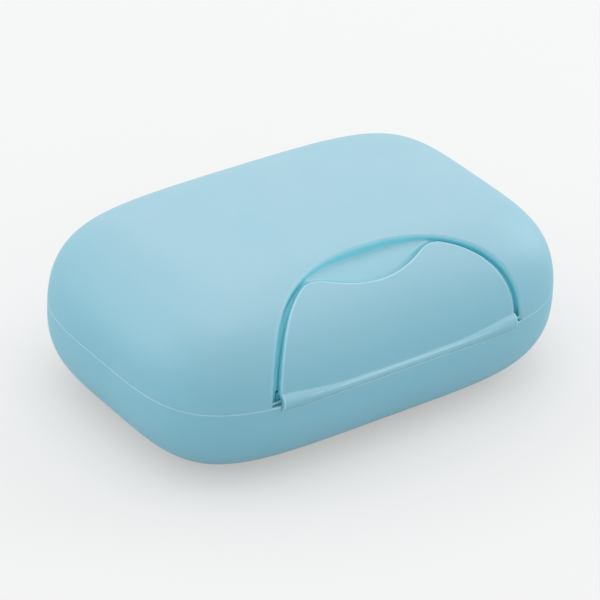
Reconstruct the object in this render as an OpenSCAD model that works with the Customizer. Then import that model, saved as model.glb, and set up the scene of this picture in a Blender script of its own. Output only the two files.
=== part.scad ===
// Travel soap box: two pillow-shaped shells that meet at a flat rim, hinged at the
// back, with a curved latch flap let into the front of the lid.
// X runs along the box, Y from the latch at the front to the hinge, Z up from the table.
// Every shell surface is a stack of superellipse rings worked out by one rule.

/* [Body] */
// Length of the box, left to right
box_w = 115; // [105:1:130]
// Depth of the shells, front to back, without the hinge
box_d = 80; // [76:1:92]
// Height of the widest section above the table
widest_z = 19; // [18:0.5:22]
// Height of the rim where the two shells meet
split_z = 21.6; // [21.2:0.1:22]
// Height of the dome's shoulder above the widest section
dome_h = 22.6; // [21:0.2:27]
// How much the middle of the lid rises above its shoulder, as a share of dome_h
crown = 0.15; // [0.05:0.01:0.2]
// Width of the rounding between the side and the top of the lid
dome_round = 24; // [22:0.5:27]
// Width of the rounding between the side and the flat underside
foot_round = 20; // [17:0.5:24]

/* [Walls] */
// Thickness of the shells and of the floor
wall = 2; // [1.6:0.1:2.3]
// Width of the lid's rim at the short ends
rim_end = 2.4; // [2.1:0.1:3]
// Width of the lid's rim along the front and back, where the latch and hinge sit
rim_side = 6; // [5.8:0.1:7]
// Thickness of the upright lip inside the rim
lip_t = 1.4; // [1.3:0.1:1.8]
// Height of the lip above the rim
lip_h = 3.2; // [3:0.1:4]
// Space between the lip and the lid
lip_gap = 0.35; // [0.3:0.05:0.5]
// Space between the two rims
rim_gap = 0.1; // [0.05:0.05:0.2]

/* [Seal] */
// Height of the sealing ring
seal_h = 1.5; // [1.2:0.1:1.7]
// Depth of the groove that holds the ring
seal_groove = 0.7; // [0.5:0.05:0.8]
// How far the ring stands out of its groove
seal_proud = 0.2; // [0.1:0.05:0.2]
// Space round the ring in its groove
seal_gap = 0.03; // [0.02:0.01:0.05]

/* [Latch] */
// Width of the recess in the lid
recess_w = 70.4; // [64:0.2:72]
// How far the recess reaches back from the front of the box
recess_reach = 19.4; // [17:0.1:21]
// Depth of the recess, square to the lid's surface
recess_t = 2.2; // [2.1:0.05:2.4]
// Space between the flap's sides and the edge of the recess
flap_gap = 1.7; // [1.2:0.1:2]
// Space between the flap's upper edge and the edge of the recess
flap_top_gap = 0.8; // [0.5:0.1:2]
// How far the flap's face lies below the lid's surface
flap_sink = 0.3; // [0.2:0.05:0.35]
// Thickness of the flap
flap_t = 1.6; // [1.4:0.05:1.65]
// Width of the finger scoop, shoulder to shoulder
scoop_w = 33.4; // [26:0.2:38]
// Depth of the finger scoop
scoop_t = 5.6; // [3:0.1:6.5]
// Radius of the barrel that the flap turns on
barrel_r = 2.2; // [2:0.05:2.3]
// Height of the barrel's centre above the rim
barrel_up = 0.7; // [0.7:0.05:1]
// Space between the barrel and what it turns in
barrel_gap = 0.3; // [0.25:0.05:0.4]
// Radius of the stub pins on the lid
stub_r = 0.7; // [0.6:0.05:0.7]
// How far each stub pin reaches into the barrel
stub_in = 2; // [1.5:0.1:3]
// Radius of the snap bead on the back of the flap
bead_r = 0.5; // [0.4:0.05:0.55]
// Length of the snap bead
bead_l = 16; // [10:1:24]
// Space round the bead in its groove
bead_gap = 0.3; // [0.1:0.05:0.4]

/* [Hinge] */
// Radius of the hinge knuckles
knuckle_r = 2.2; // [2:0.1:2.4]
// Length of the hinge
hinge_w = 56; // [44:1:62]
// Number of knuckles, of which the base has the outer ones
knuckles = 5; // [3:2:7]
// Space between neighbouring knuckles
knuckle_gap = 0.3; // [0.25:0.05:0.5]
// Radius of the hinge pin
pin_r = 1; // [0.8:0.05:1.1]
// Space round the pin in the lid's knuckles
pin_gap = 0.06; // [0.03:0.01:0.1]
// Space round the pin in the base's knuckles
pin_hold = 0.02; // [0.01:0.01:0.02]

/* [Drain ribs] */
// Number of ribs on the floor that keep the soap off the water
ribs = 8; // [4:1:9]
// Distance from rib to rib
rib_pitch = 9; // [7:0.5:9]
// Width of a rib
rib_t = 2; // [1.6:0.1:3]
// Height of a rib above the floor
rib_h = 3; // [2:0.1:4]
// Length of a rib
rib_l = 34; // [24:1:36]

/* [Hidden] */

// Corner sharpness of the outline at the wall, and how it grows with the inset
corner_n = 4;
corner_gain = 0.075;
// Roundness of the lid's and the base's profiles
dome_m = 2.6;
foot_m = 2.3;
// Roundness of the recess's and the flap's outlines
recess_n = 2.25;
// Softness of the flap's shoulders, in degrees
shoulder = 3.2;
// Angles where the cut for the recess and the flap's plate start, over the level of the barrel
cut_low = -12;
flap_low = 1.5;
// Angle of the recess's upper edge, straight over the hub line
recess_top = 90;
// Angle up to which a panel's outer columns follow its sides
side_top = 47;
// Points in a ring, steps in a rounding, and cells across and up a panel
ring_points = 88;
round_steps = 10;
panel_cols = 28;
panel_rows = 16;
// Halvings used to find a point on a surface, and the longest distance tried
halvings = 18;
longest_arm = 40;
// Sides of a round bar and of a rib's end
bar_sides = 48;
rib_sides = 32;
// Sizes of the rings on the dome's top, as shares of its outline
top_scales = [0.7, 0.4];
last_scale = 0.1;
// A little more than nothing, for cuts that run past a face, and a good deal more
past = 0.5;
far_past = 3;
// How far a piece that is joined to a shell runs into it
root = 0.5;
// The wall behind the recess: what it has left, how far it runs past the recess at the sides
// and over its top, where it starts to thin out, over which share, and how it starts over the lip
pad_t = 1.6;
pad_side = 3;
pad_top = 99;
pad_end = 1.5;
pad_fade = 0.4;
pad_rise = 3;

half_w = box_w / 2;
half_d = box_d / 2;
base_rim_z = split_z - rim_gap;
lip_top_z = split_z + lip_h;
seal_z = split_z + (lip_h - seal_h) / 2;

// The latch turns on this line, and the recess's walls all point at the hub line
barrel_y = -half_d + barrel_r;
barrel_z = split_z + barrel_up;
barrel_half = recess_w / 2 - flap_gap;
notch_half = barrel_half + barrel_gap;
hub_y = -half_d + recess_reach;
hub_z = barrel_z;
top_gap_angle = flap_top_gap / recess_reach * 180 / PI;
scoop_rise = scoop_t / recess_reach * 180 / PI;
bead_angle = 52;

// The lid turns on this line
hinge_y = half_d;
hinge_z = split_z;
knuckle_pitch = hinge_w / knuckles;

// The origin is under the middle of the whole box, hinge included
middle_y = -knuckle_r / 2;

plastic = [0.56, 0.76, 0.83];
silicone = [0.90, 0.93, 0.93];
pin_colour = [0.50, 0.72, 0.80];

// Power of a number's size that keeps its sign
function sign_pow(v, e) = sign(v) * pow(abs(v), e);
// Corner sharpness of the ring at an inset from the wall
function ring_n(inset) = corner_n + corner_gain * inset;
// How high the crown stands above a point of the plan, from 0 at the edge to 1
function crown_at(x, y) =
    max(0, 1 - pow(x / half_w, 2)) * max(0, 1 - pow(y / half_d, 2));
// Share of a rounding's width that is used up at a share of its height
function drawn_in(share, m) = 1 - pow(max(0, 1 - pow(share, m)), 1 / m);

// A ring of points at one height, set in from the wall by dx at the ends and dy at the sides
function ring(dx, dy, z) =
    [for (i = [0 : ring_points - 1])
        let (t = 360 * i / ring_points, n = ring_n(dx))
        [(half_w - dx) * sign_pow(cos(t), 2 / n), (half_d - dy) * sign_pow(sin(t), 2 / n), z]];

// The lid's outer height over a point at a share of the dome's height
function dome_z(x, y, share, skin) =
    widest_z + share * (dome_h - skin) * (1 + crown * crown_at(x, y));

// A ring of the dome, skin millimetres under its surface and no wider than the rim allows
function dome_ring(share, skin, end, side) =
    let (inset = skin + (dome_round - skin) * drawn_in(share, dome_m))
    [for (p = ring(max(end, inset), max(side, inset), 0)) [p.x, p.y, dome_z(p.x, p.y, share, skin)]];

// A ring on the dome's top, drawn in towards the middle, and the small level one that closes it
function top_ring(scale, skin) =
    [for (p = ring(dome_round, dome_round, 0))
        let (x = p.x * scale, y = p.y * scale) [x, y, dome_z(x, y, 1, skin)]];
function last_ring(skin) =
    [for (p = ring(dome_round, dome_round, 0)) [p.x * last_scale, p.y * last_scale, dome_z(0, 0, 1, skin)]];

// A ring of the rounded foot, skin millimetres inside it
function foot_ring(share, skin, end, side) =
    let (inset = skin + (foot_round - skin) * drawn_in(share, foot_m))
    ring(max(end, inset), max(side, inset), widest_z - share * (widest_z - skin));

// Shares of a rounding's height, closer together where it turns in
function shares(from, m) =
    [for (i = [0 : round_steps])
        let (low = asin(pow(from, m / 2)), a = low + (90 - low) * i / round_steps)
        i == 0 ? from : pow(sin(a), 2 / m)];

// Is a point outside the dome, skin millimetres under its surface?
function outside(p, skin) =
    let (share = (p.z - widest_z) / ((dome_h - skin) * (1 + crown * crown_at(p.x, p.y))))
    share >= 1 ? true :
    let (inset = skin + (dome_round - skin) * drawn_in(max(0, share), dome_m), n = ring_n(inset))
    pow(abs(p.x) / (half_w - inset), n) + pow(abs(p.y) / (half_d - inset), n) > 1;

// The point at a distance from the hub line, at an angle up from the front
function from_hub(x, angle, arm) = [x, hub_y - arm * cos(angle), hub_z + arm * sin(angle)];

// The point of the dome there, found by halving
function skin_point(x, angle, skin, low = 0, high = longest_arm, left = halvings) =
    let (mid = (low + high) / 2)
    left == 0 ? from_hub(x, angle, mid) :
    outside(from_hub(x, angle, mid), skin) ?
        skin_point(x, angle, skin, low, mid, left - 1) :
        skin_point(x, angle, skin, mid, high, left - 1);

// Half width of a panel at an angle, and the angle of its upper edge at a distance from the middle
function side_x(angle, half, top) =
    half * pow(1 - pow(max(0, angle) / top, recess_n), 1 / recess_n);
function edge_angle(x, half, top) =
    top * pow(max(0, 1 - pow(abs(x) / half, recess_n)), 1 / recess_n);

// The flap's upper edge with the finger scoop, blended at the shoulders
function scoop_angle(x, half, top) =
    let (edge = edge_angle(x, half, top),
        scoop = edge_angle(scoop_w / 2, half, top) - scoop_rise * (1 - pow(2 * x / scoop_w, 2)))
    -shoulder * ln(exp(-edge / shoulder) + exp(-scoop / shoulder));

// Stacks rings of equally many points into a closed solid
module stack(rings) {
    n = len(rings[0]);
    last = len(rings) - 1;
    polyhedron(
        points = [for (r = rings) each r],
        faces = [
            [for (i = [0 : n - 1]) i],
            for (k = [0 : last - 1], i = [0 : n - 1])
                let (j = (i + 1) % n, a = k * n + i, b = k * n + j)
                each [[a, a + n, b], [b, a + n, b + n]],
            [for (i = [n - 1 : -1 : 0]) last * n + i],
        ],
        convexity = 8
    );
}

// A curved plate between two depths under the dome, with the recess's outline
module panel(outer_skin, inner_skin, half, top, low, scooped) {
    cols = panel_cols;
    rows = panel_rows;
    corner_x = side_x(side_top, half, top);
    grid = [for (skin = [outer_skin, inner_skin], r = [0 : rows], c = [0 : cols])
        let (u = 2 * c / cols - 1, v = r / rows,
            x = u * side_x(low + v * (side_top - low), half, top),
            edge = scooped ? scoop_angle(u * corner_x, half, top) : edge_angle(u * corner_x, half, top))
        skin_point(x, low + v * (edge - low), skin)];
    layer = (rows + 1) * (cols + 1);
    rim = [
        for (c = [0 : cols - 1]) c,
        for (r = [0 : rows - 1]) r * (cols + 1) + cols,
        for (c = [cols : -1 : 1]) rows * (cols + 1) + c,
        for (r = [rows : -1 : 1]) r * (cols + 1),
    ];
    polyhedron(
        points = grid,
        faces = [
            for (r = [0 : rows - 1], c = [0 : cols - 1])
                let (a = r * (cols + 1) + c, b = a + cols + 1)
                each [
                    [a, b, a + 1], [a + 1, b, b + 1],
                    [layer + a, layer + a + 1, layer + b], [layer + a + 1, layer + b + 1, layer + b],
                ],
            for (i = [0 : len(rim) - 1])
                let (a = rim[i], b = rim[(i + 1) % len(rim)])
                each [[a, b, layer + b], [a, layer + b, layer + a]],
        ],
        convexity = 6
    );
}

// A round bar along X
module bar(radius, from_x, to_x, y, z) {
    translate([from_x, y, z]) rotate([0, 90, 0]) cylinder(r = radius, h = to_x - from_x, $fn = bar_sides);
}

// The hinge's knuckles with an even or an odd place
module knuckle_row(odd, radius, spare) {
    for (k = [odd : 2 : knuckles - 1])
        bar(radius, -hinge_w / 2 + k * knuckle_pitch + knuckle_gap / 2 - spare,
            -hinge_w / 2 + (k + 1) * knuckle_pitch - knuckle_gap / 2 + spare, hinge_y, hinge_z);
}

// How far a point of the lid lies behind the recess, from 1 there to 0 outside it and by the lip
function unit(v) = max(0, min(1, v));
function behind_recess(p) =
    let (angle = atan2(p.z - hub_z, hub_y - p.y),
        reach = pow(abs(p.x) / (recess_w / 2 + pad_side), recess_n)
            + pow(max(0, angle) / pad_top, recess_n))
    unit((pad_end - reach) / pad_fade) * unit((p.z - lip_top_z) / pad_rise);

// A ring of the lid's hollow, stepped in behind the recess so the wall there stays whole
function hollow_ring(share) =
    let (plain = dome_ring(share, wall, rim_end, rim_side))
    [for (i = [0 : ring_points - 1])
        let (skin = wall + (recess_t + pad_t - wall) * behind_recess(plain[i]))
        dome_ring_point(i, share, skin)];
function dome_ring_point(i, share, skin) =
    let (inset = skin + (dome_round - skin) * drawn_in(share, dome_m),
        dx = max(rim_end, inset), dy = max(rim_side, inset),
        t = 360 * i / ring_points, n = ring_n(dx),
        x = (half_w - dx) * sign_pow(cos(t), 2 / n), y = (half_d - dy) * sign_pow(sin(t), 2 / n))
    [x, y, dome_z(x, y, share, skin)];

module drain_rib(x) {
    reach = rib_l / 2 - rib_t / 2;
    translate([x, 0, wall - root]) {
        translate([-rib_t / 2, -reach, 0]) cube([rib_t, 2 * reach, rib_h + root]);
        for (y = [-reach, reach]) translate([0, y, 0]) cylinder(d = rib_t, h = rib_h + root, $fn = rib_sides);
    }
}

// Lower shell, with the seal's lip, the notch for the latch, its knuckles and the drain ribs
module base_shell() {
    low_share = (base_rim_z - widest_z) / dome_h;
    lip_x = rim_end + lip_gap;
    lip_y = rim_side + lip_gap;
    in_x = lip_x + lip_t;
    in_y = lip_y + lip_t;
    foot = shares(0, foot_m);
    color(plastic) translate([0, middle_y, 0]) difference() {
        union() {
            stack([
                for (i = [round_steps : -1 : 0]) foot_ring(foot[i], 0, 0, 0),
                for (p = [dome_round * drawn_in(low_share, dome_m)]) ring(p, p, base_rim_z),
                ring(lip_x, lip_y, base_rim_z),
                ring(lip_x, lip_y, seal_z),
                ring(lip_x + seal_groove, lip_y + seal_groove, seal_z),
                ring(lip_x + seal_groove, lip_y + seal_groove, seal_z + seal_h),
                ring(lip_x, lip_y, seal_z + seal_h),
                ring(lip_x, lip_y, lip_top_z),
                ring(in_x, in_y, lip_top_z),
                ring(in_x, in_y, widest_z),
                for (i = [1 : round_steps]) foot_ring(foot[i], wall, in_x, in_y),
            ]);
            knuckle_row(0, knuckle_r, 0);
            for (i = [0 : ribs - 1]) drain_rib((i - (ribs - 1) / 2) * rib_pitch);
        }
        bar(barrel_r + barrel_gap, -notch_half, notch_half, barrel_y, barrel_z);
        knuckle_row(1, knuckle_r + barrel_gap, knuckle_gap);
        bar(pin_r + pin_hold, -hinge_w / 2 - past, hinge_w / 2 + past, hinge_y, hinge_z);
    }
}

// Upper shell, with the recess for the flap, the flap's stub pins and its knuckles
module lid_shell() {
    low_share = (split_z - widest_z) / dome_h;
    outer = shares(low_share, dome_m);
    inner = shares((split_z - widest_z) / (dome_h - wall), dome_m);
    color(plastic) translate([0, middle_y, 0]) {
        difference() {
            union() {
                stack([
                    last_ring(wall),
                    for (k = [len(top_scales) - 1 : -1 : 0]) top_ring(top_scales[k], wall),
                    for (i = [round_steps : -1 : 1]) hollow_ring(inner[i]),
                    ring(rim_end, rim_side, split_z),
                    for (p = [dome_round * drawn_in(low_share, dome_m)]) ring(p, p, split_z),
                    for (i = [1 : round_steps]) dome_ring(outer[i], 0, 0, 0),
                    for (k = [0 : len(top_scales) - 1]) top_ring(top_scales[k], 0),
                    last_ring(0),
                ]);
                knuckle_row(1, knuckle_r, 0);
            }
            panel(-far_past, recess_t, recess_w / 2, recess_top, cut_low, false);
            bar(barrel_r + barrel_gap, -notch_half, notch_half, barrel_y, barrel_z);
            snap_bead(bead_gap);
            knuckle_row(0, knuckle_r + barrel_gap, knuckle_gap);
            bar(pin_r + pin_gap, -hinge_w / 2 - past, hinge_w / 2 + past, hinge_y, hinge_z);
        }
        bar(stub_r, barrel_half - stub_in, recess_w / 2 + root, barrel_y, barrel_z);
        bar(stub_r, -recess_w / 2 - root, stub_in - barrel_half, barrel_y, barrel_z);
    }
}

// Bead on the back of the flap, and with some space round it the groove that it snaps into
module snap_bead(spare) {
    at = skin_point(0, bead_angle, flap_sink + flap_t);
    bar(bead_r + spare, -bead_l / 2 - spare, bead_l / 2 + spare, at.y, at.z);
}

// Latch flap on its barrel, with the finger scoop in its upper edge
module latch_flap() {
    color(plastic) translate([0, middle_y, 0]) difference() {
        union() {
            panel(flap_sink, flap_sink + flap_t, barrel_half, recess_top - top_gap_angle, flap_low, true);
            bar(barrel_r, -barrel_half, barrel_half, barrel_y, barrel_z);
            snap_bead(0);
        }
        bar(stub_r + pin_gap, barrel_half - stub_in - past, barrel_half + past, barrel_y, barrel_z);
        bar(stub_r + pin_gap, -barrel_half - past, stub_in + past - barrel_half, barrel_y, barrel_z);
    }
}

// Soft ring round the base's lip
module sealing_ring() {
    lip_x = rim_end + lip_gap;
    lip_y = rim_side + lip_gap;
    out_x = lip_x - seal_proud;
    out_y = lip_y - seal_proud;
    in_x = lip_x + seal_groove - seal_gap;
    in_y = lip_y + seal_groove - seal_gap;
    low = seal_z + seal_gap;
    high = seal_z + seal_h - seal_gap;
    color(silicone) translate([0, middle_y, 0]) ring_band([
        ring(out_x, out_y, low), ring(out_x, out_y, high), ring(in_x, in_y, high), ring(in_x, in_y, low),
    ]);
}

// Joins rings round a hole, the last one to the first
module ring_band(rings) {
    n = len(rings[0]);
    count = len(rings);
    polyhedron(
        points = [for (r = rings) each r],
        faces = [for (k = [0 : count - 1], i = [0 : n - 1])
            let (j = (i + 1) % n, up = (k + 1) % count, a = k * n + i, b = k * n + j)
            each [[a, up * n + i, b], [b, up * n + i, up * n + j]]],
        convexity = 6
    );
}

// Pin through all the hinge's knuckles
module hinge_pin() {
    color(pin_colour) translate([0, middle_y, 0]) bar(pin_r, -hinge_w / 2, hinge_w / 2, hinge_y, hinge_z);
}

base_shell();
lid_shell();
latch_flap();
sealing_ring();
hinge_pin();
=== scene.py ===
# Travel soap box: dense, softly rounded shells, latch, seal and hinge pin that stand for
# the CAD nodes, with moulded-plastic materials, on a plain pale floor.
# The shapes are worked out in millimetres in the body frame, whose origin is on the table
# under the middle of the shells.
import math

import bpy
import numpy as np
from mathutils import Matrix, Vector


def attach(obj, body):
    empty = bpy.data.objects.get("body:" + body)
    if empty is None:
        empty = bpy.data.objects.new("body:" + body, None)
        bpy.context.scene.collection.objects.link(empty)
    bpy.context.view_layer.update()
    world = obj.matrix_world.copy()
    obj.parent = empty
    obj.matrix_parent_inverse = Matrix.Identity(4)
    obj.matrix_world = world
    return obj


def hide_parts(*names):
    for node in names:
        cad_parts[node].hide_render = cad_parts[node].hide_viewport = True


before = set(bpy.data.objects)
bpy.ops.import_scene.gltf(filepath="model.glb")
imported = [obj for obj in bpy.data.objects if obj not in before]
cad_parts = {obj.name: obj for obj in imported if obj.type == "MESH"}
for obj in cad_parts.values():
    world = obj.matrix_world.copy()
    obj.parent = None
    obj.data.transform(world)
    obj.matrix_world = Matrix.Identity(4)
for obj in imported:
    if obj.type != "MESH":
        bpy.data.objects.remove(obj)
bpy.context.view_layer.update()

MM = 0.001

# Body
HALF_W, HALF_D = 57.5, 40.0
WIDEST_Z, SPLIT_Z = 19.0, 21.6
DOME_H, CROWN = 22.6, 0.15
DOME_ROUND, FOOT_ROUND = 24.0, 20.0
DOME_M, FOOT_M = 2.6, 2.3
CORNER_N, CORNER_GAIN = 4.0, 0.075
# Walls, lip and seal
WALL = 2.0
RIM_END, RIM_SIDE = 2.4, 6.0
# Both rims are drawn closed, at the height of the base's rim
RIM_GAP = 0.1
RIM_Z = SPLIT_Z - RIM_GAP
LIP_GAP, LIP_T, LIP_H = 0.35, 1.4, 3.2
SEAL_H, SEAL_GROOVE, SEAL_PROUD, SEAL_GAP = 1.5, 0.7, 0.2, 0.03
# The lip starts this high, inside the wall
LIP_FOOT_Z = WIDEST_Z + 1
SEAL_Z = SPLIT_Z + (LIP_H - SEAL_H) / 2
# Recess and latch, laid out by x and by the angle about a hub line along X
RECESS_HALF, RECESS_REACH, RECESS_T, RECESS_N = 35.2, 19.4, 2.2, 2.25
RECESS_TOP = 90.0
FLAP_GAP, FLAP_TOP_GAP, FLAP_SINK, FLAP_T = 1.7, 0.8, 0.3, 1.6
FLAP_LOW = 1.5
SCOOP_W, SCOOP_T = 33.4, 5.6
BARREL_R, BARREL_GAP = 2.2, 0.3
BARREL_Y, BARREL_Z = -HALF_D + BARREL_R, SPLIT_Z + 0.7
BARREL_HALF = RECESS_HALF - FLAP_GAP
HUB_Y, HUB_Z = -HALF_D + RECESS_REACH, BARREL_Z
STUB_R, STUB_IN, SOCKET_GAP = 0.7, 2.0, 0.06
BEAD_R, BEAD_HALF, BEAD_GAP, BEAD_ANGLE = 0.5, 8.0, 0.3, 52.0
PAD_T, PAD_SIDE, PAD_TOP, PAD_END, PAD_FADE, PAD_RISE = 1.6, 3.0, 99.0, 1.5, 0.4, 3.0
# Hinge
KNUCKLE_R, HINGE_W, KNUCKLES, KNUCKLE_GAP = 2.2, 56.0, 5, 0.3
PIN_R, PIN_GAP, PIN_HOLD = 1.0, 0.06, 0.02
HINGE_Y, HINGE_Z = HALF_D, SPLIT_Z
# Drain ribs
RIBS, RIB_PITCH, RIB_T, RIB_H, RIB_L = 8, 9.0, 2.0, 3.0, 34.0
RIB_EDGE, RIB_ROOT = 0.4, 0.5
# The row frame is the body frame moved along Y by this much
MIDDLE_Y = -KNUCKLE_R / 2

# Rounding of edges. The recess's rim is rounder at its ends than at its top.
RIM_TOP_EDGE, RIM_SIDE_EDGE, RIM_FROM, RIM_OVER = 0.8, 1.15, 18, 12
FLAP_EDGE, FLAP_ROOT_EDGE, SHOULDER_EDGE = 0.45, 0.12, 3.0
# The base's rim is sharper towards its right end
BASE_EDGE, BASE_EDGE_RIGHT, RIGHT_FROM, RIGHT_OVER = 0.3, 0.1, 28, 8
LID_EDGE, SEAT_EDGE, GROOVE_EDGE = 0.03, 0.03, 0.1
SMALL_EDGE, BARREL_EDGE, PIN_EDGE = 0.2, 0.3, 0.25
SEAL_SIDE_EDGE, SEAL_TOP_EDGE = 0.15, 0.3
# The barrel's seat in the base is drawn almost closed. The lid's is twice as far off.
SEAT_GAP = 0.02
# Under its widest line the barrel is filled out to the box's outer surface
SKIRT_R, SKIRT_FILL, SKIRT_FROM, SKIRT_UNDER = 2.5, 0.7, 0.3, 0.01
# The recess's floor rises towards the ends of the finger scoop
FLOOR_RISE, FLOOR_RISE_FROM, FLOOR_RISE_TO, FLOOR_RISE_END = 0.9, 2.0, 17.0, 24.0
RAMP_GAP, RAMP = 0.2, 1.8
# The barrel is slimmer and lower in its middle, where the flap's face runs over it
WAIST_HALF, WAIST_SLIM, WAIST_OUT, WAIST_DROP = 30.0, 0.5, 0.32, 0.4
# The stub pins are drawn thin. The gap lies between the barrel's ends and the seats' ends.
VISIBLE_STUB_R, STUB_GAP, STUB_SPARE = 0.35, 0.06, 0.5

# Where the colours change. Painted bounce light: a lighter, bluer teal on the recess's walls and
# deep in its side grooves.
WALL_REACH, WALL_BEHIND, WALL_ABOVE_RIM = 1.5, 1.0, 0.02
WALL_STEEPNESS, WALL_TOP, WALL_TOP_OVER = 1.6, 0.1, 0.5
GROOVE_LEAST, GROOVE_FROM, GROOVE_OVER, GROOVE_SIDE = 0.12, 1.0, 0.6, 5
BESIDE_FROM, BESIDE_OVER, BELOW_FLOOR = 1.0, 0.7, 0.4
# Painted highlight: the outer upper part of the barrel is drawn paler, as if lit
BARREL_LIGHT_ENDS, BARREL_LIGHT_MIDDLE = 0.6, 1.9
BARREL_LIGHT_NEAR, BARREL_LIGHT_IN, BARREL_LIGHT_LOW, BARREL_LIGHT_OVER = 0.04, 0.5, 0.5, 1.2
# Painted shade: the pockets' bottom beside the barrel's ends, behind the stub pins, and the stub
# pins there are drawn dark
POCKET_SPARE, POCKET_WIDER, POCKET_TOP, POCKET_OVER = 0.02, 0.3, 0.4, 0.5
POCKET_BEHIND, POCKET_HIGH, POCKET_FADE = 1, 3.2, 2.0
# Painted edge highlights: from this sharpness in 1/mm on, and full after so much more
SHARP_FROM, SHARP_OVER = 0.4, 2.0

# Sizes and limits of the solving steps
TINY, NO_LENGTH = 1e-6, 1e-9
INSET_ROUNDS, INSET_START, INSET_LEAST = 9, 5.0, -6
DEPTH_ROUNDS, DEPTH_LEAST, DEPTH_MOST = 5, -12, 14
LEAST_ARM, LEAST_SLOPE2, BEAD_ROUNDS = 5, 0.05, 30


# Shape fields: distances in millimetres, negative inside the piece
def round_and(a, b, r):
    """Inside both, with the edge between them rounded to radius r."""
    return np.minimum(-r, np.maximum(a, b)) + np.hypot(np.maximum(a + r, 0), np.maximum(b + r, 0))


def round_or(a, b, r):
    """Inside either, with the crease between them filled to radius r."""
    return np.maximum(r, np.minimum(a, b)) - np.hypot(np.maximum(r - a, 0), np.maximum(r - b, 0))


def unit(v):
    """Cut to the span from 0 to 1."""
    return np.clip(v, 0, 1)


def plan_inset(x, y):
    """How far inside the outline a point of the plan lies, measured by the rings."""
    x, y = np.maximum(np.abs(x), TINY), np.maximum(np.abs(y), TINY)
    inset = np.full(np.broadcast(x, y).shape, INSET_START)
    for _ in range(INSET_ROUNDS):
        n = CORNER_N + CORNER_GAIN * inset
        a, b = HALF_W - inset, HALF_D - inset
        px, py = (x / a) ** n, (y / b) ** n
        total = px + py
        slope = (px / a + py / b) / total
        inset = np.clip(inset - np.log(total) / (n * slope), INSET_LEAST, DOME_ROUND + 1)
    return inset


def crown_at(x, y):
    """How much of the top's crown there is over a point of the plan."""
    return np.maximum(0, 1 - (x / HALF_W) ** 2) * np.maximum(0, 1 - (y / HALF_D) ** 2)


def skin_depth(x, y, z):
    """How far under the outer surface a point lies, in millimetres."""
    inset = plan_inset(x, y)
    up = z >= WIDEST_Z
    lift = np.where(up, 1 + CROWN * crown_at(x, y), 1.0)
    height = np.where(up, DOME_H, WIDEST_Z)
    width = np.where(up, DOME_ROUND, FOOT_ROUND)
    m = np.where(up, DOME_M, FOOT_M)
    rise = np.abs(z - WIDEST_Z) / lift
    depth = np.zeros(np.broadcast(rise, inset).shape)
    for _ in range(DEPTH_ROUNDS):
        share = rise / (height - depth)
        side = np.maximum(0, width - inset) / (width - depth)
        fm, sm = np.maximum(share, TINY) ** m, np.maximum(side, TINY) ** m
        total = fm + sm
        radius = total ** (1 / m)
        slope = radius / total * (fm / (height - depth) + sm / (width - depth))
        depth = np.clip(depth - (radius - 1) / slope, DEPTH_LEAST, DEPTH_MOST)
    return depth


def ring_depth(x, y, dx, dy):
    """Distance inside an upright wall that is set in by dx at the ends and dy at the sides."""
    n = CORNER_N + CORNER_GAIN * dx
    a, b = HALF_W - dx, HALF_D - dy
    x, y = np.maximum(np.abs(x), TINY), np.maximum(np.abs(y), TINY)
    total = (x / a) ** n + (y / b) ** n
    norm = total ** (1 / n)
    slope = np.hypot((x / a) ** (n - 1) / a, (y / b) ** (n - 1) / b) / total ** (1 - 1 / n)
    return (1 - norm) / slope


def hub(y, z):
    """Angle up from the front about the hub line, in degrees, and the distance from it."""
    return np.degrees(np.arctan2(z - HUB_Z, HUB_Y - y)), np.hypot(z - HUB_Z, y - HUB_Y)


def panel_edge(x, angle, arm, half, top):
    """Distance outside the outline of a panel, which is half wide and top high."""
    ex, ea = np.abs(x) / half, np.maximum(angle, 0) / top
    n = RECESS_N
    px, pa = np.maximum(ex, TINY) ** n, np.maximum(ea, TINY) ** n
    total = px + pa
    norm = total ** (1 / n)
    mm_per_degree = np.maximum(arm, LEAST_ARM) * math.pi / 180
    gx = np.maximum(ex, TINY) ** (n - 1) / half
    ga = np.maximum(ea, TINY) ** (n - 1) / top / mm_per_degree
    slope = np.hypot(gx, ga) / total ** (1 - 1 / n)
    return (norm - 1) / slope


def scoop_edge(x, angle, arm, half, top):
    """Distance above the finger scoop in the flap's upper edge."""
    at_shoulder = top * (1 - (SCOOP_W / 2 / half) ** RECESS_N) ** (1 / RECESS_N)
    rise = math.degrees(SCOOP_T / RECESS_REACH)
    level = at_shoulder - rise * (1 - (2 * x / SCOOP_W) ** 2)
    tilt = math.radians(rise) * RECESS_REACH * 8 * x / SCOOP_W**2
    return (angle - level) * math.pi / 180 * arm / np.hypot(1, tilt)


def rod(x, y, z, radius, low, high, at_y, at_z, r=0.0):
    """A round bar along X, its ends rounded by r."""
    side = np.hypot(y - at_y, z - at_z) - radius
    end = np.abs(x - (low + high) / 2) - (high - low) / 2
    return round_and(side, end, r) if r else np.maximum(side, end)


def knuckles(x, y, z, odd, radius, spare, r=0.0):
    """Every other knuckle, from the first or second on, each longer by spare at both ends."""
    out = None
    pitch = HINGE_W / KNUCKLES
    for k in range(odd, KNUCKLES, 2):
        low = -HINGE_W / 2 + k * pitch + KNUCKLE_GAP / 2 - spare
        high = -HINGE_W / 2 + (k + 1) * pitch - KNUCKLE_GAP / 2 + spare
        one = rod(x, y, z, radius, low, high, HINGE_Y, HINGE_Z, r)
        out = one if out is None else np.minimum(out, one)
    return out


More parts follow.
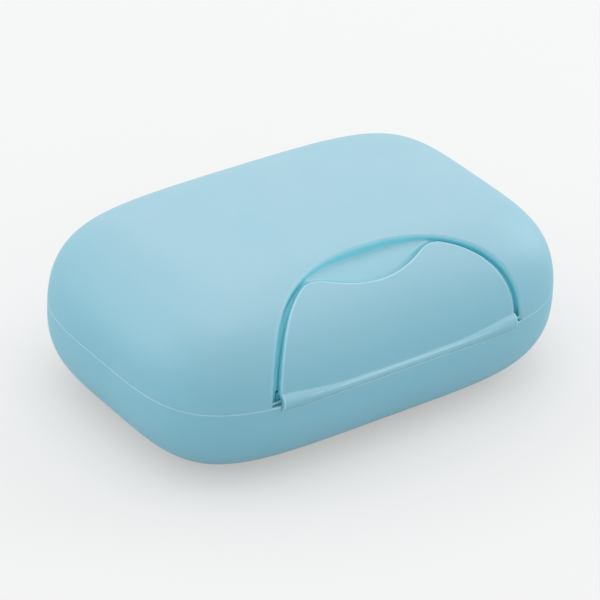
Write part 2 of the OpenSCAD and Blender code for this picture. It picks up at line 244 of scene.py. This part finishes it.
def bead_place():
    """Where the snap bead's line lies, on the flap's back."""
    low, high = 0.0, HALF_D
    a = math.radians(BEAD_ANGLE)
    for _ in range(BEAD_ROUNDS):
        mid = (low + high) / 2
        y, z = HUB_Y - mid * math.cos(a), HUB_Z + mid * math.sin(a)
        if skin_depth(np.array([0.0]), np.array([y]), np.array([z]))[0] < FLAP_SINK + FLAP_T:
            high = mid
        else:
            low = mid
    return HUB_Y - low * math.cos(a), HUB_Z + low * math.sin(a)


BEAD_Y, BEAD_Z = bead_place()


def flap_outline(x, angle, arm):
    """Distance outside the flap's outline, its shoulders rounded."""
    top = RECESS_TOP - math.degrees(FLAP_TOP_GAP / RECESS_REACH)
    edge = panel_edge(x, angle, arm, BARREL_HALF, top)
    return round_and(edge, scoop_edge(x, angle, arm, BARREL_HALF, top), SHOULDER_EDGE)


def floor_lift(x, angle, arm):
    """How far the recess's floor rises above its even depth, beside the finger scoop."""
    clear = unit((flap_outline(x, angle, arm) - RAMP_GAP) / RAMP)
    along = unit((np.abs(x) - FLOOR_RISE_FROM) / (FLOOR_RISE_TO - FLOOR_RISE_FROM))
    fade = unit((FLOOR_RISE_END - np.abs(x)) / (FLOOR_RISE_END - FLOOR_RISE_TO))
    return FLOOR_RISE * clear * clear * (3 - 2 * clear) * along**1.5 * fade


def lid_field(x, y, z):
    depth = skin_depth(x, y, z)
    angle, arm = hub(y, z)
    wall = panel_edge(x, angle, arm, RECESS_HALF, RECESS_TOP)
    floor = depth - RECESS_T + floor_lift(x, angle, arm)
    kept = round_or(-wall, -floor, SMALL_EDGE)
    at_end = unit((np.abs(x) - RIM_FROM) / RIM_OVER)
    rim = RIM_TOP_EDGE + (RIM_SIDE_EDGE - RIM_TOP_EDGE) * at_end
    kept = round_and(-depth, kept, rim)
    out = round_and(kept, RIM_Z - z, LID_EDGE)
    reach = (np.abs(x) / (RECESS_HALF + PAD_SIDE)) ** RECESS_N
    reach = reach + (np.maximum(angle, 0) / PAD_TOP) ** RECESS_N
    behind = unit((PAD_END - reach) / PAD_FADE) * unit((z - SPLIT_Z - LIP_H) / PAD_RISE)
    skin = WALL + (RECESS_T + PAD_T - WALL) * behind
    hollow = np.minimum(depth - skin, ring_depth(x, y, RIM_END, RIM_SIDE))
    out = round_and(out, hollow, SMALL_EDGE)
    out = round_or(out, knuckles(x, y, z, 1, KNUCKLE_R, 0, SMALL_EDGE), SMALL_EDGE)
    notch = rod(x, y, z, SKIRT_R + 2 * SEAT_GAP, -BARREL_HALF - STUB_GAP,
                BARREL_HALF + STUB_GAP, BARREL_Y, BARREL_Z)
    out = round_and(out, -notch, SMALL_EDGE)
    groove = rod(x, y, z, BEAD_R + BEAD_GAP, -BEAD_HALF - BEAD_GAP, BEAD_HALF + BEAD_GAP,
                 BEAD_Y, BEAD_Z)
    out = round_and(out, -groove, GROOVE_EDGE)
    out = np.maximum(out, -knuckles(x, y, z, 0, KNUCKLE_R + BARREL_GAP, KNUCKLE_GAP))
    bore = rod(x, y, z, PIN_R + PIN_GAP, -HINGE_W, HINGE_W, HINGE_Y, HINGE_Z)
    out = np.maximum(out, -bore)
    for side in (-1, 1):
        ends = sorted((side * (BARREL_HALF - STUB_IN), side * (RECESS_HALF + STUB_SPARE)))
        out = np.minimum(out, rod(x, y, z, VISIBLE_STUB_R, *ends, BARREL_Y, BARREL_Z))
    return out


def skirted_barrel(x, y, z, depth):
    """The barrel, slimmer in its middle, with the skirt that meets the base."""
    share = unit(1 - (np.abs(x) / WAIST_HALF) ** 2)
    middle_y = BARREL_Y - WAIST_OUT * share
    middle_z = BARREL_Z - WAIST_DROP * share
    side = np.hypot(y - middle_y, z - middle_z) - BARREL_R + WAIST_SLIM * share
    barrel = round_and(side, np.abs(x) - BARREL_HALF, BARREL_EDGE)
    room = rod(x, y, z, SKIRT_R, -BARREL_HALF, BARREL_HALF, BARREL_Y, BARREL_Z, SMALL_EDGE)
    skirt = np.maximum(np.maximum(room, SKIRT_UNDER - depth), z - BARREL_Z)
    skirt = np.maximum(skirt, SKIRT_FROM - BARREL_Y + y)
    return np.maximum(round_or(barrel, skirt, SKIRT_FILL), room)


def latch_field(x, y, z):
    depth = skin_depth(x, y, z)
    angle, arm = hub(y, z)
    edge = flap_outline(x, angle, arm)
    edge = np.maximum(edge, (FLAP_LOW - angle) * math.pi / 180 * arm)
    plate = round_and(edge, FLAP_SINK - depth, FLAP_EDGE)
    plate = round_and(plate, depth - FLAP_SINK - FLAP_T, FLAP_EDGE)
    barrel = skirted_barrel(x, y, z, depth)
    out = round_or(plate, barrel, FLAP_ROOT_EDGE)
    bead = rod(x, y, z, BEAD_R, -BEAD_HALF, BEAD_HALF, BEAD_Y, BEAD_Z, SMALL_EDGE)
    out = round_or(out, bead, SMALL_EDGE)
    for side in (-1, 1):
        inner, outer = BARREL_HALF - STUB_IN - STUB_SPARE, BARREL_HALF + STUB_SPARE
        ends = sorted((side * inner, side * outer))
        out = np.maximum(out, -rod(x, y, z, STUB_R + SOCKET_GAP, *ends, BARREL_Y, BARREL_Z))
    return out


def base_field(x, y, z):
    depth = skin_depth(x, y, z)
    edge = BASE_EDGE + (BASE_EDGE_RIGHT - BASE_EDGE) * unit((x - RIGHT_FROM) / RIGHT_OVER)
    out = round_and(-depth, z - RIM_Z, edge)
    lip_x, lip_y = RIM_END + LIP_GAP, RIM_SIDE + LIP_GAP
    lip = round_and(-ring_depth(x, y, lip_x, lip_y), z - SPLIT_Z - LIP_H, SMALL_EDGE)
    lip = np.maximum(lip, LIP_FOOT_Z - z)
    middle = SEAL_Z + SEAL_H / 2
    groove = np.maximum(ring_depth(x, y, lip_x + SEAL_GROOVE, lip_y + SEAL_GROOVE),
                        np.abs(z - middle) - SEAL_H / 2)
    lip = np.maximum(lip, -groove)
    out = np.minimum(out, lip)
    room = ring_depth(x, y, lip_x + LIP_T, lip_y + LIP_T)
    hollow = np.where(z < WIDEST_Z, np.minimum(depth - WALL, room), room)
    out = round_and(out, hollow, SMALL_EDGE)
    reach = RIB_L / 2 - RIB_T / 2
    for i in range(RIBS):
        at = (i - (RIBS - 1) / 2) * RIB_PITCH
        side = np.hypot(x - at, np.maximum(np.abs(y) - reach, 0)) - RIB_T / 2
        rib = np.maximum(round_and(side, z - WALL - RIB_H, RIB_EDGE), WALL - RIB_ROOT - z)
        out = round_or(out, rib, RIB_EDGE)
    out = round_or(out, knuckles(x, y, z, 0, KNUCKLE_R, 0, SMALL_EDGE), SMALL_EDGE)
    notch = rod(x, y, z, SKIRT_R + SEAT_GAP, -BARREL_HALF - STUB_GAP,
                BARREL_HALF + STUB_GAP, BARREL_Y, BARREL_Z)
    out = round_and(out, -notch, SEAT_EDGE)
    out = np.maximum(out, -knuckles(x, y, z, 1, KNUCKLE_R + BARREL_GAP, KNUCKLE_GAP))
    bore = rod(x, y, z, PIN_R + PIN_HOLD, -HINGE_W, HINGE_W, HINGE_Y, HINGE_Z)
    return np.maximum(out, -bore)


def seal_field(x, y, z):
    outside = ring_depth(x, y, RIM_END + LIP_GAP - SEAL_PROUD, RIM_SIDE + LIP_GAP - SEAL_PROUD)
    back = SEAL_GROOVE - SEAL_GAP
    inside = ring_depth(x, y, RIM_END + LIP_GAP + back, RIM_SIDE + LIP_GAP + back)
    level = np.abs(z - SEAL_Z - SEAL_H / 2) - SEAL_H / 2 + SEAL_GAP
    return round_and(round_and(-outside, inside, SEAL_SIDE_EDGE), level, SEAL_TOP_EDGE)


def pin_field(x, y, z):
    return rod(x, y, z, PIN_R, -HINGE_W / 2, HINGE_W / 2, HINGE_Y, HINGE_Z, PIN_EDGE)


# Meshing
CORNERS = [(i, j, k) for i in (0, 1) for j in (0, 1) for k in (0, 1)]
EDGES = [(a, b) for a in range(8) for b in range(a + 1, 8)
         if sum(abs(p - q) for p, q in zip(CORNERS[a], CORNERS[b])) == 1]


def axis(*stretches):
    """Grid places along one axis. Each stretch is (start, end, step)."""
    places = [np.linspace(a, b, max(2, int(round((b - a) / step)) + 1)) for a, b, step in stretches]
    return np.unique(np.round(np.concatenate(places), 6))


def sample(field, grid, slab=8):
    """The field on a grid, worked out slab by slab."""
    x, y = grid[0][:, None, None], grid[1][None, :, None]
    slabs = []
    for k in range(0, len(grid[2]), slab):
        z = grid[2][None, None, k:k + slab]
        slabs.append(field(*np.broadcast_arrays(x, y, z)).astype(np.float32))
    return np.concatenate(slabs, 2)


def cell_points(values, cells, grid):
    """The middle of the places where the surface crosses each cell's edges."""
    at = [values[tuple((cells + c).T)] for c in CORNERS]
    total, hits = np.zeros((len(cells), 3)), np.zeros(len(cells))
    for a, b in EDGES:
        crossed = (at[a] < 0) != (at[b] < 0)
        span = np.where(crossed, at[a] - at[b], 1)
        t = np.where(crossed, at[a] / span, 0)[:, None]
        point = np.array(CORNERS[a]) * (1 - t) + np.array(CORNERS[b]) * t
        total += np.where(crossed[:, None], point, 0)
        hits += crossed
    share = total / hits[:, None]
    low = np.stack([grid[i][cells[:, i]] for i in range(3)], 1)
    high = np.stack([grid[i][cells[:, i] + 1] for i in range(3)], 1)
    return low + share * (high - low)


def quads_along(inside, number, along):
    """A quad of four cells' points round each grid line along one axis that is crossed."""
    shape = number.shape
    u, v = (along + 1) % 3, (along + 2) % 3
    first, second = [slice(None)] * 3, [slice(None)] * 3
    first[along], second[along] = slice(0, -1), slice(1, None)
    where = np.argwhere(inside[tuple(first)] != inside[tuple(second)])
    where = where[(where[:, u] > 0) & (where[:, v] > 0)]
    where = where[(where[:, u] < shape[u]) & (where[:, v] < shape[v])]
    ring = []
    for du, dv in ((1, 1), (0, 1), (0, 0), (1, 0)):
        cell = where.copy()
        cell[:, u] -= du
        cell[:, v] -= dv
        ring.append(number[tuple(cell.T)])
    quad = np.stack(ring, 1)
    flip = ~inside[tuple(where.T)]
    quad[flip] = quad[flip][:, ::-1]
    return quad


def surface_nets(values, grid):
    """One point in each cell that the surface crosses, and the quads between them."""
    inside = values < 0
    nx, ny, nz = shape = tuple(n - 1 for n in values.shape)
    count = sum(inside[i:i + nx, j:j + ny, k:k + nz].astype(np.int8) for i, j, k in CORNERS)
    cells = np.argwhere((count > 0) & (count < 8))
    number = np.full(shape, -1, np.int32)
    number[tuple(cells.T)] = np.arange(len(cells))
    quads = np.concatenate([quads_along(inside, number, i) for i in range(3)])
    return cell_points(values, cells, grid), quads


def gradient(field, points, h=0.02):
    """Which way and how steeply the field rises at each point."""
    out = np.empty_like(points)
    for i in range(3):
        shift = np.zeros(3)
        shift[i] = h
        a, b = points + shift, points - shift
        out[:, i] = (field(*a.T) - field(*b.T)) / (2 * h)
    return out


def directions(vectors):
    """The vectors, each made one long."""
    return vectors / np.maximum(np.linalg.norm(vectors, axis=1, keepdims=True), NO_LENGTH)


def settle(field, points, reach=0.25, rounds=3):
    """Moves the points onto the field's surface, and gives the normals there."""
    for _ in range(rounds):
        g = gradient(field, points)
        length2 = np.maximum((g**2).sum(1), LEAST_SLOPE2)
        move = field(*points.T)[:, None] * g / length2[:, None]
        size = np.linalg.norm(move, axis=1, keepdims=True)
        points = points - move * np.minimum(1, reach / np.maximum(size, NO_LENGTH))
    return points, directions(gradient(field, points))


def sharpness(field, points, h=0.15):
    """How sharply the surface bends outward at each point, in 1/mm."""
    total = -6 * field(*points.T)
    for i in range(3):
        shift = np.zeros(3)
        shift[i] = h
        total += field(*(points + shift).T) + field(*(points - shift).T)
    return total / h**2


def recess_wall_bounce(points, normals):
    """Where painted bounce light goes: 1 on the walls of the recess and deep in its side grooves, 0
    elsewhere.
    """
    out = np.zeros(len(points))
    angle, arm = hub(points[:, 1], points[:, 2])
    near = panel_edge(points[:, 0], angle, arm, RECESS_HALF, RECESS_TOP) < WALL_REACH
    near &= (points[:, 2] > RIM_Z + WALL_ABOVE_RIM) & (points[:, 1] < HUB_Y + WALL_BEHIND)
    near &= ~by_stub(points)
    some = points[near]
    skin = directions(gradient(skin_depth, some))
    across = 1 - np.abs((skin * normals[near]).sum(1))
    depth = skin_depth(*some.T)
    beside = flap_outline(some[:, 0], angle[near], arm[near]) + BESIDE_FROM
    at_side = unit((np.abs(some[:, 0]) - FLOOR_RISE_TO) / GROOVE_SIDE)
    groove = GROOVE_LEAST + unit(beside / BESIDE_OVER) * at_side
    groove = groove * unit((depth - GROOVE_FROM) / GROOVE_OVER)
    share = unit(across * WALL_STEEPNESS + groove) * unit((depth - WALL_TOP) / WALL_TOP_OVER)
    out[near] = share * (depth < RECESS_T + BELOW_FLOOR)
    return out


def barrel_highlight(points):
    """How much painted highlight the outer upper part of the barrel gets, as a sharpness."""
    x, y, z = points.T
    on_it = np.abs(skirted_barrel(x, y, z, skin_depth(x, y, z))) < BARREL_LIGHT_NEAR
    on_it &= y < BARREL_Y - BARREL_LIGHT_IN
    most = BARREL_LIGHT_ENDS + (BARREL_LIGHT_MIDDLE - BARREL_LIGHT_ENDS) * unit(1 - (np.abs(x) / BARREL_HALF) ** 2)
    return most * on_it * unit((z - SPLIT_Z + BARREL_LIGHT_LOW) / BARREL_LIGHT_OVER)


def pocket_shade_share(points):
    """Where painted shade goes: 1 at the bottom of the pockets beside the barrel's ends, 0
    elsewhere.
    """
    x, y, z = points.T
    aside = (np.abs(x) > BARREL_HALF + POCKET_SPARE) & (np.abs(x) < RECESS_HALF + POCKET_WIDER)
    inside = unit((skin_depth(x, y, z) - POCKET_TOP) / POCKET_OVER)
    low = unit((BARREL_Z + POCKET_HIGH - z) / POCKET_FADE)
    return aside * (y < BARREL_Y + POCKET_BEHIND) * inside * low


def by_stub(points):
    """Whether each point lies on a stub pin, outside the barrel."""
    x, y, z = points.T
    return (np.abs(x) > BARREL_HALF) & (np.hypot(y - BARREL_Y, z - BARREL_Z) < STUB_R)


def make_mesh(name, points, faces, normals, shares):
    """A smooth mesh in metres in the row frame. Each share becomes a point attribute."""
    mesh = bpy.data.meshes.new(name)
    count, sides = faces.shape
    placed = (points + np.array([0, MIDDLE_Y, 0])) * MM
    mesh.vertices.add(len(placed))
    mesh.vertices.foreach_set("co", placed.astype(np.float32).ravel())
    mesh.loops.add(count * sides)
    mesh.loops.foreach_set("vertex_index", faces.astype(np.int32).ravel())
    mesh.polygons.add(count)
    mesh.polygons.foreach_set("loop_start", np.arange(0, count * sides, sides, dtype=np.int32))
    mesh.update(calc_edges=True)
    mesh.validate()
    mesh.polygons.foreach_set("use_smooth", np.ones(len(mesh.polygons), bool))
    mesh.normals_split_custom_set_from_vertices(normals.astype(np.float32))
    for key, share in shares.items():
        made = mesh.attributes.new(key, "FLOAT", "POINT")
        made.data.foreach_set("value", share.astype(np.float32))
    obj = bpy.data.objects.new(name, mesh)
    bpy.context.scene.collection.objects.link(obj)
    return obj


def carve(name, field, grid, walls=False, lit_barrel=False):
    """A piece whose surface is where the field is 0."""
    points, quads = surface_nets(sample(field, grid), grid)
    points, normals = settle(field, points)
    bend = np.where(by_stub(points), 0, sharpness(field, points))
    shares = {}
    # Painted highlight on the barrel's outer upper part, added to the edges' sharpness
    if lit_barrel:
        bend = np.maximum(bend, barrel_highlight(points))
    if walls:
        # Painted bounce light on the recess's walls and in its grooves
        shares["wall"] = recess_wall_bounce(points, normals)
        # Painted shade at the bottom of the pockets and on the stub pins there
        shares["pocket_shade"] = pocket_shade_share(points)
    # Painted highlight: sharp outward edges are drawn paler, as if catching light
    shares["edge"] = unit((bend - SHARP_FROM) / SHARP_OVER)
    return make_mesh(name, points, quads, normals, shares)


# Materials
BLUE = (0.185, 0.477, 0.587, 1)
# Painted sheen: upward faces are drawn whiter, as if lit from above
BLUE_TOP_SHEEN = (0.265, 0.474, 0.570, 1)
BLUE_DEEP = (0.19, 0.46, 0.565, 1)
# Painted highlight for sharp edges
BLUE_EDGE_HIGHLIGHT = (0.42, 0.68, 0.77, 1)
# Painted bounce light for the recess's walls and grooves
BLUE_WALL_BOUNCE = (0.19, 0.64, 0.74, 1)
# Painted shade for the bottom of the pockets
BLUE_POCKET_SHADE = (0.05, 0.33, 0.43, 1)
SPECK = (0.16, 0.33, 0.40, 1)
MILKY, MILKY_DEEP = (0.76, 0.83, 0.84, 1), (0.70, 0.78, 0.80, 1)
SHINE, SHEEN_UP_POWER = 1.0, 1.6
# How much of each colour shows at most
CLOUD_MOST, WALL_BOUNCE_MOST, POCKET_SHADE_MOST, EDGE_HIGHLIGHT_MOST = 0.25, 1.0, 0.9, 0.55
# Scales of the patterns, in cells per metre
CLOUD_SCALE, GLOSS_SCALE, SPECK_SCALE = 38, 95, 210
SPECK_SIZE, SPECK_SHARE = 0.075, 0.012
GLOSS_SPREAD = 0.04
GRAIN_STRENGTH, GRAIN_DEPTH = 0.12, 0.00006


class Shader:
    """Makes a material step by step."""

    def __init__(self, name, rough, **settings):
        self.material = bpy.data.materials.new(name)
        self.material.use_nodes = True
        self.tree = self.material.node_tree
        self.main = self.tree.nodes["Principled BSDF"]
        self.main.inputs["Roughness"].default_value = rough
        for key, value in settings.items():
            self.main.inputs[key.replace("_", " ")].default_value = value
        place = self.tree.nodes.new("ShaderNodeTexCoord")
        self.where, self.normal = place.outputs["Object"], place.outputs["Normal"]

    def link(self, source, target):
        self.tree.links.new(source, target)

    def noise(self, scale, detail=2.0):
        made = self.tree.nodes.new("ShaderNodeTexNoise")
        made.inputs["Scale"].default_value = scale
        made.inputs["Detail"].default_value = detail
        self.link(self.where, made.inputs["Vector"])
        return made.outputs["Fac"]

    def span(self, value, low, high, to_low, to_high):
        made = self.tree.nodes.new("ShaderNodeMapRange")
        for key, number in (("From Min", low), ("From Max", high), ("To Min", to_low),
                            ("To Max", to_high)):
            made.inputs[key].default_value = number
        self.link(value, made.inputs["Value"])
        return made.outputs["Result"]

    def blend(self, share, first, second):
        """Mixes two colours, each a constant or a socket."""
        made = self.tree.nodes.new("ShaderNodeMix")
        made.data_type = "RGBA"
        self.link(share, made.inputs["Factor"])
        for socket, colour in ((made.inputs[6], first), (made.inputs[7], second)):
            if isinstance(colour, tuple):
                socket.default_value = colour
            else:
                self.link(colour, socket)
        return made.outputs[2]

    def facing_up(self):
        """1 on a piece's top, 0 on its sides and underside; it places the painted sheen."""
        parts = self.tree.nodes.new("ShaderNodeSeparateXYZ")
        self.link(self.normal, parts.inputs["Vector"])
        power = self.tree.nodes.new("ShaderNodeMath")
        power.operation = "POWER"
        self.link(self.span(parts.outputs["Z"], 0, 1, 0, 1), power.inputs[0])
        power.inputs[1].default_value = SHEEN_UP_POWER
        return power.outputs["Value"]

    def share(self, attribute, most):
        """One of the mesh's point attributes, times a most."""
        made = self.tree.nodes.new("ShaderNodeAttribute")
        made.attribute_name = attribute
        return self.span(made.outputs["Fac"], 0, 1, 0, most)

    def specks(self, cell, size, share):
        """Sparse dots: 1 in a dot, 0 elsewhere."""
        dots = self.tree.nodes.new("ShaderNodeTexVoronoi")
        dots.inputs["Scale"].default_value = cell
        self.link(self.where, dots.inputs["Vector"])
        near = self.span(dots.outputs["Distance"], size, size * 0.5, 0, 1)
        pick = self.tree.nodes.new("ShaderNodeSeparateColor")
        self.link(dots.outputs["Color"], pick.inputs["Color"])
        chosen = self.span(pick.outputs["Red"], 1 - share, 1 - share + 0.001, 0, 1)
        both = self.tree.nodes.new("ShaderNodeMath")
        both.operation = "MULTIPLY"
        self.link(near, both.inputs[0])
        self.link(chosen, both.inputs[1])
        return both.outputs["Value"]

    def bump(self, height, strength, distance):
        made = self.tree.nodes.new("ShaderNodeBump")
        made.inputs["Strength"].default_value = strength
        made.inputs["Distance"].default_value = distance
        self.link(height, made.inputs["Height"])
        self.link(made.outputs["Normal"], self.main.inputs["Normal"])

    def colour(self, socket):
        self.link(socket, self.main.inputs["Base Color"])

    def roughness(self, socket):
        self.link(socket, self.main.inputs["Roughness"])


def moulded_plastic(name, rough, grain, specks):
    """Matte moulded polypropylene, with a painted sheen on upward faces, painted highlights along
    its edges, painted bounce light on the recess's walls and painted shade in the pockets.
    """
    made = Shader(name, rough, Subsurface_Weight=0.3, Subsurface_Scale=0.0012,
                  Subsurface_Radius=(0.3, 0.9, 1.1), Specular_IOR_Level=SHINE)
    # Painted sheen on upward faces
    tone_and_painted_light = made.blend(made.facing_up(), BLUE, BLUE_TOP_SHEEN)
    patches = made.span(made.noise(CLOUD_SCALE, 3), 0.35, 0.65, 0, CLOUD_MOST)
    tone_and_painted_light = made.blend(patches, tone_and_painted_light, BLUE_DEEP)
    # Painted bounce light: the recess's walls are drawn a lighter, bluer teal
    tone_and_painted_light = made.blend(made.share("wall", WALL_BOUNCE_MOST), tone_and_painted_light, BLUE_WALL_BOUNCE)
    # Painted shade: the pockets' bottom is drawn dark blue
    tone_and_painted_light = made.blend(made.share("pocket_shade", POCKET_SHADE_MOST), tone_and_painted_light, BLUE_POCKET_SHADE)
    # Painted highlight along sharp edges
    rim = made.blend(made.share("edge", EDGE_HIGHLIGHT_MOST), tone_and_painted_light, BLUE_EDGE_HIGHLIGHT)
    if specks:
        rim = made.blend(made.specks(SPECK_SCALE, SPECK_SIZE, SPECK_SHARE), rim, SPECK)
    made.colour(rim)
    gloss = made.noise(GLOSS_SCALE, 4)
    made.roughness(made.span(gloss, 0.3, 0.7, rough - GLOSS_SPREAD, rough + GLOSS_SPREAD))
    made.bump(made.noise(grain, 2), GRAIN_STRENGTH, GRAIN_DEPTH)
    return made.material


def silicone(name):
    """Milky, soft and slightly translucent."""
    made = Shader(name, 0.4, Subsurface_Weight=0.35, Subsurface_Scale=0.002)
    made.colour(made.blend(made.noise(120, 3), MILKY, MILKY_DEEP))
    made.bump(made.noise(1600, 2), 0.1, 0.00004)
    return made.material


# Camera, lights and floor
AZIMUTH, ELEVATION, ROLL = -37.039, 31.211, 2.784
DISTANCE = 808.78
CLIP_START, CLIP_END = 0.01, 20
FOCAL_PX, IMAGE_PX, SENSOR_MM = 3406.73, 600, 36.0
SHIFT_X, SHIFT_Y = -2.081 / IMAGE_PX, -1.015 / IMAGE_PX
LIGHT_TARGET = (0, 0, 0.02)
SKY_GLOW = 0.96
# The glow is a little warm and the floor a little cool, so that the blue light that the box
# throws on the floor leaves its shadow grey.
GLOW = (1.44, 1.36, 1.27, 1)
FLOOR_LIGHT, FLOOR_DARK = (0.574, 0.602, 0.632, 1), (0.570, 0.598, 0.628, 1)
FLOOR_GLOW = 0.28
FLOOR_SIZE, FLOOR_ROUGH = 6, 0.9


def add_camera():
    """A camera at the photograph's viewing angle."""
    az, el, roll = (math.radians(a) for a in (AZIMUTH, ELEVATION, ROLL))
    back = Vector((math.sin(az) * math.cos(el), -math.cos(az) * math.cos(el), math.sin(el)))
    right = Vector((math.cos(az), math.sin(az), 0))
    up = back.cross(right)
    across = right * math.cos(roll) + up * math.sin(roll)
    along = up * math.cos(roll) - right * math.sin(roll)
    turn = Matrix((across, along, back)).transposed()
    data = bpy.data.cameras.new("camera")
    data.sensor_width = SENSOR_MM
    data.lens = FOCAL_PX / IMAGE_PX * SENSOR_MM
    data.shift_x, data.shift_y = SHIFT_X, SHIFT_Y
    data.clip_start, data.clip_end = CLIP_START, CLIP_END
    camera = bpy.data.objects.new("camera", data)
    place = back * DISTANCE + Vector((0, MIDDLE_Y, WIDEST_Z))
    camera.matrix_world = Matrix.Translation(place * MM) @ turn.to_4x4()
    bpy.context.scene.collection.objects.link(camera)
    bpy.context.scene.camera = camera


def add_area(name, place, size, power):
    """A soft white lamp that shines at the box."""
    data = bpy.data.lights.new(name, "AREA")
    data.shape = "RECTANGLE"
    data.size, data.size_y = size
    data.energy = power
    lamp = bpy.data.objects.new(name, data)
    lamp.location = place
    aim = Vector(LIGHT_TARGET) - Vector(place)
    lamp.rotation_euler = aim.to_track_quat("-Z", "Y").to_euler()
    bpy.context.scene.collection.objects.link(lamp)


def add_world(strength):
    world = bpy.data.worlds.new("world")
    bpy.context.scene.world = world
    world.use_nodes = True
    sky = world.node_tree.nodes["Background"]
    sky.inputs["Color"].default_value = (1, 1, 1, 1)
    sky.inputs["Strength"].default_value = strength


def add_floor():
    """A pale floor whose shadow is softened where the camera, a gloss or a lens sees it."""
    bpy.ops.mesh.primitive_plane_add(size=FLOOR_SIZE, location=(0, 0, 0))
    floor = bpy.context.object
    floor.name = "floor"
    made = Shader("floor_pale", FLOOR_ROUGH, Specular_IOR_Level=0.0)
    made.colour(made.blend(made.noise(4, 2), FLOOR_LIGHT, FLOOR_DARK))
    glow = made.tree.nodes.new("ShaderNodeEmission")
    glow.inputs["Color"].default_value = GLOW
    seen = made.tree.nodes.new("ShaderNodeLightPath")
    total = seen.outputs["Is Camera Ray"]
    for ray in ("Is Glossy Ray", "Is Transmission Ray"):
        either = made.tree.nodes.new("ShaderNodeMath")
        either.operation = "MAXIMUM"
        made.link(total, either.inputs[0])
        made.link(seen.outputs[ray], either.inputs[1])
        total = either.outputs["Value"]
    mix = made.tree.nodes.new("ShaderNodeMixShader")
    made.link(made.span(total, 0, 1, 0, FLOOR_GLOW), mix.inputs["Fac"])
    made.link(made.main.outputs["BSDF"], mix.inputs[1])
    made.link(glow.outputs["Emission"], mix.inputs[2])
    made.link(mix.outputs["Shader"], made.tree.nodes["Material Output"].inputs["Surface"])
    floor.data.materials.append(made.material)


# Build
def place(piece, material, body, cad, slot):
    """Dresses a piece, hangs it on its body and hides the CAD part that it stands for."""
    piece.data.materials.append(material)
    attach(piece, body)
    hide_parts(cad)


# The lip's step and the seat's bands stay as fine as they are, because the base's lip is
# only 0.7 mm thick behind the seal.
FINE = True
K = 1.0 if FINE else 1.8
COARSE = 0.75 if FINE else 1.2
LIP_STEP, SEAL_STEP, PIN_STEP = 0.5, 0.35, 0.2
LATCH_STEP = 0.25 * K
# Half the length of the latch's surroundings, which are meshed finely
SIDE_X = 37.3
# The band of x in which the barrel's ends and their seats lie
END_LOW, END_HIGH = 33.0, 34.2
# The grids' limits, just past the box's ends and past the hinge
PAST_X, PAST_Y = 58.3, 43.1

shell_mat = moulded_plastic("shell_plastic", 0.5, 2600, True)
latch_mat = moulded_plastic("latch_plastic", 0.47, 3000, False)
pin_mat = moulded_plastic("pin_plastic", 0.42, 3600, False)
seal_mat = silicone("seal_silicone")

lid_grid = (
    axis((-PAST_X, -SIDE_X, COARSE), (-SIDE_X, SIDE_X, 0.37 * K), (SIDE_X, PAST_X, COARSE)),
    axis((-41, -39, 0.2 * K), (-39, -17, 0.34 * K), (-17, PAST_Y, COARSE)),
    axis((21.14, 22.1, 0.08), (22.1, 45.7, 0.43 * K)),
)
lid = carve("lid", lid_field, lid_grid, walls=True)
place(lid, shell_mat, "lid", "lid_shell", "shell")
base_grid = (
    axis((-PAST_X, -SIDE_X, LIP_STEP), (-SIDE_X, -END_HIGH, 0.6), (-END_HIGH, -END_LOW, 0.12),
         (-END_LOW, END_LOW, 0.6), (END_LOW, END_HIGH, 0.12), (END_HIGH, SIDE_X, 0.6),
         (SIDE_X, PAST_X, LIP_STEP)),
    axis((-40.2, -38.6, 0.08 * K), (-38.6, -35, 0.2), (-35, -30, 0.4), (-30, PAST_Y, LIP_STEP)),
    axis((-0.61, 19.5, 0.6 * K), (19.5, 21.94, 0.09), (21.94, 25.3, 0.42 * K)),
)
base = carve("base", base_field, base_grid)
place(base, shell_mat, "base", "base_shell", "shell")
latch_grid = (
    axis((-34.6, 34.6, LATCH_STEP)),
    axis((-40.9, -20.1, LATCH_STEP)),
    axis((19.6, 44.6, LATCH_STEP)),
)
latch = carve("latch", latch_field, latch_grid, walls=True, lit_barrel=True)
place(latch, latch_mat, "latch", "latch_flap", "latch")
seal_grid = (
    axis((-55.6, 55.6, SEAL_STEP)),
    axis((-34.6, 34.6, SEAL_STEP)),
    axis((22.2, 24.4, 0.2)),
)
seal = carve("seal", seal_field, seal_grid)
place(seal, seal_mat, "base", "sealing_ring", "seal")
pin_grid = (
    axis((-28.6, 28.6, PIN_STEP)),
    axis((38.7, 41.3, PIN_STEP)),
    axis((20.3, 22.9, PIN_STEP)),
)
pin = carve("pin", pin_field, pin_grid)
place(pin, pin_mat, "base", "hinge_pin", "pin")

add_camera()
add_floor()
add_world(SKY_GLOW)
# Each lamp's place, its size and its power in watts
add_area("top_light", (-0.02, -0.06, 1.1), (0.7, 0.6), 1.5)
add_area("right_light", (1.2, -0.1, 0.5), (0.8, 0.8), 3.6)
add_area("back_light", (0.78, 1.04, 0.75), (1.0, 0.7), 1.0)
add_area("high_back_light", (0.25, 0.6, 1.1), (0.8, 0.6), 0.6)
add_area("back_left_light", (-0.5, 0.75, 0.95), (0.9, 0.7), 0.9)
add_area("low_left_light", (-1.1, 0.7, 0.4), (0.8, 0.8), 2.3)

bpy.context.scene.view_settings.view_transform = "Standard"
